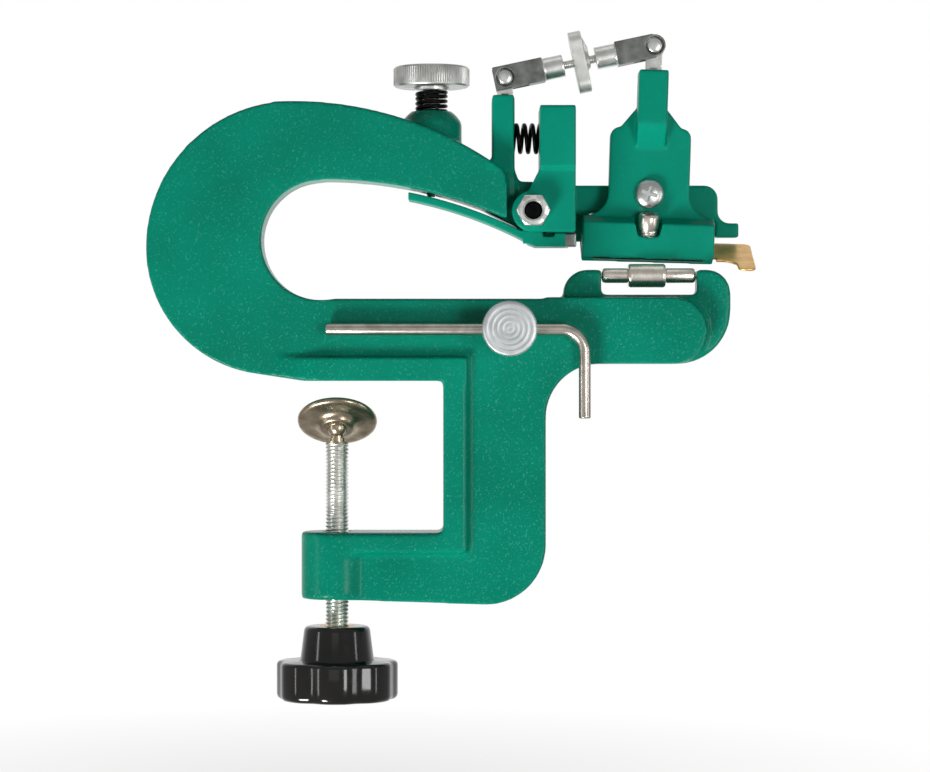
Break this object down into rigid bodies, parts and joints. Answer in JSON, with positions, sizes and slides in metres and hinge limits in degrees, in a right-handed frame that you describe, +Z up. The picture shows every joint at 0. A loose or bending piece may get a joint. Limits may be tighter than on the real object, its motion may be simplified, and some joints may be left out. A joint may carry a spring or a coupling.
{
  "type": "leather skiving machine",
  "caption": "Bench-clamped leather skiving machine: green C-frame casting, sprung head lever with razor holder over an anvil roller, depth screw, turnbuckle link and edge guide.",
  "frame": {"origin": "on the jaw face that rests on the bench top, over the clamp screw's axis", "axes": "+X from the throat towards the roller, +Z up out of the bench, -Y towards the user in front"},
  "size_m": [0.204, 0.0489, 0.2254],
  "materials": {
    "casting": "hammered enamel",
    "steel": "machined",
    "nickel": "polished plate",
    "aluminium": "turned and knurled",
    "black_plastic": "gloss",
    "spring_steel": "black oxide",
    "brass": "satin"
  },
  "bodies": {
    "frame": {"frame": "casting", "guide_post": "steel", "pivot_bolt": "steel", "pivot_washer": "steel", "pivot_nut": "nickel", "left_eye": "steel", "depth_spring": "spring_steel", "head_spring": "spring_steel"},
    "pad_collar": {"pad_collar": "nickel"},
    "clamp_pad": {"clamp_pad": "nickel"},
    "clamp_screw": {"clamp_screw": "steel", "clamp_knob": "black_plastic", "clamp_knob_insert": "brass"},
    "roller": {"roller": "nickel"},
    "guide_bush": {"guide_bush": "brass"},
    "guide_rod": {"guide_rod": "nickel"},
    "guide_knob": {"guide_knob": "aluminium"},
    "depth_washer": {"depth_washer": "steel"},
    "depth_screw": {"depth_screw": "steel", "depth_knob": "aluminium"},
    "depth_lever": {"depth_lever": "steel"},
    "head_lever": {"head_lever": "casting", "holder_screw": "steel", "holder_locknut": "steel", "holder_washer": "steel"},
    "blade_holder": {"blade_holder": "casting", "right_eye": "steel"},
    "set_screw": {"set_screw": "steel"},
    "pressure_plate": {"pressure_plate": "brass"},
    "razor_blade": {"razor_blade": "steel"},
    "link": {"right_clevis": "steel", "right_clevis_pin": "steel", "left_clevis": "steel", "left_clevis_pin": "steel"},
    "turnbuckle_rod": {"turnbuckle_rod": "steel", "wing": "steel"}
  },
  "joints": [
    {"name": "clamp_travel", "type": "slide", "parent": "frame", "child": "pad_collar", "axis": [0, 0, 1], "range_m": [-0.0264, 0.0044]},
    {"name": "clamp_spin", "type": "hinge", "parent": "pad_collar", "child": "clamp_screw", "pos_m": [0, 0, -0.05], "axis": [0, 0, 1], "range_deg": [-7560, 1260]},
    {"name": "pad_tilt", "type": "hinge", "parent": "pad_collar", "child": "clamp_pad", "pos_m": [0, 0, -0.0157], "axis": [1, 0, 0], "range_deg": [0, 68]},
    {"name": "roller_spin", "type": "hinge", "parent": "frame", "child": "roller", "pos_m": [0.1041, 0, 0.0354], "axis": [1, 0, 0], "continuous": true},
    {"name": "guide_turn", "type": "hinge", "parent": "frame", "child": "guide_bush", "pos_m": [0.0577, -0.0126, 0.0172], "axis": [1, 0, 0], "range_deg": [-180, 0]},
    {"name": "guide_slide", "type": "slide", "parent": "guide_bush", "child": "guide_rod", "axis": [1, 0, 0], "range_m": [-0.008, 0.045]},
    {"name": "guide_knob_spin", "type": "hinge", "parent": "frame", "child": "guide_knob", "pos_m": [0.0577, -0.02, 0.0172], "axis": [0, -1, 0], "range_deg": [-30, 720]},
    {"name": "depth_travel", "type": "slide", "parent": "frame", "child": "depth_washer", "axis": [0, 0, 1], "range_m": [-0.00051, 0.00051], "deforming": ["depth_spring"]},
    {"name": "depth_spin", "type": "hinge", "parent": "depth_washer", "child": "depth_screw", "pos_m": [0.0317, 0.003, 0.1], "axis": [0, 0, 1], "range_deg": [-180, 180]},
    {"name": "depth_swing", "type": "hinge", "parent": "frame", "child": "depth_lever", "pos_m": [0.0657, 0, 0.0567], "axis": [0, -1, 0], "range_deg": [-0.85, 0.85]},
    {"name": "head_lift", "type": "hinge", "parent": "depth_lever", "child": "head_lever", "pos_m": [0.0657, 0, 0.0567], "axis": [0, -1, 0], "range_deg": [0, 6], "stiffness_Nm_per_rad": 1.25, "springref_deg": -11.46, "deforming": ["head_spring"]},
    {"name": "holder_turn", "type": "hinge", "parent": "head_lever", "child": "blade_holder", "pos_m": [0.1053, 0, 0.0633], "axis": [0, -1, 0], "range_deg": [-6, 0]},
    {"name": "link_swing", "type": "hinge", "parent": "blade_holder", "child": "link", "pos_m": [0.10686, 0.004, 0.11298], "axis": [0, -1, 0], "range_deg": [0, 4.68]},
    {"name": "wing_spin", "type": "hinge", "parent": "link", "child": "turnbuckle_rod", "pos_m": [0.0565, 0.004, 0.1023], "axis": [0.9783, 0, 0.2074], "range_deg": [-180, 180]},
    {"name": "set_screw_spin", "type": "hinge", "parent": "blade_holder", "child": "set_screw", "pos_m": [0.10466, 0.00714, 0.04301], "axis": [0.0295, -0.342, 0.9392], "range_deg": [0, 720]},
    {"name": "plate_slide", "type": "slide", "parent": "blade_holder", "child": "pressure_plate", "axis": [0.9995, 0, -0.0314], "range_m": [0, 0.044]},
    {"name": "blade_slide", "type": "slide", "parent": "blade_holder", "child": "razor_blade", "axis": [0.9995, 0, -0.0314], "range_m": [0, 0.044]}
  ],
  "couplings": [
    {"joint": "clamp_travel", "follows": "clamp_spin", "m_per_rad": 0.00019894},
    {"joint": "depth_travel", "follows": "depth_spin", "m_per_rad": 0.00015915},
    {"joint": "depth_swing", "follows": "depth_spin", "ratio": -0.004681},
    {"joint": "holder_turn", "follows": "head_lift", "ratio": -0.9711},
    {"joint": "link_swing", "follows": "head_lift", "ratio": 0.7579}
  ]
}
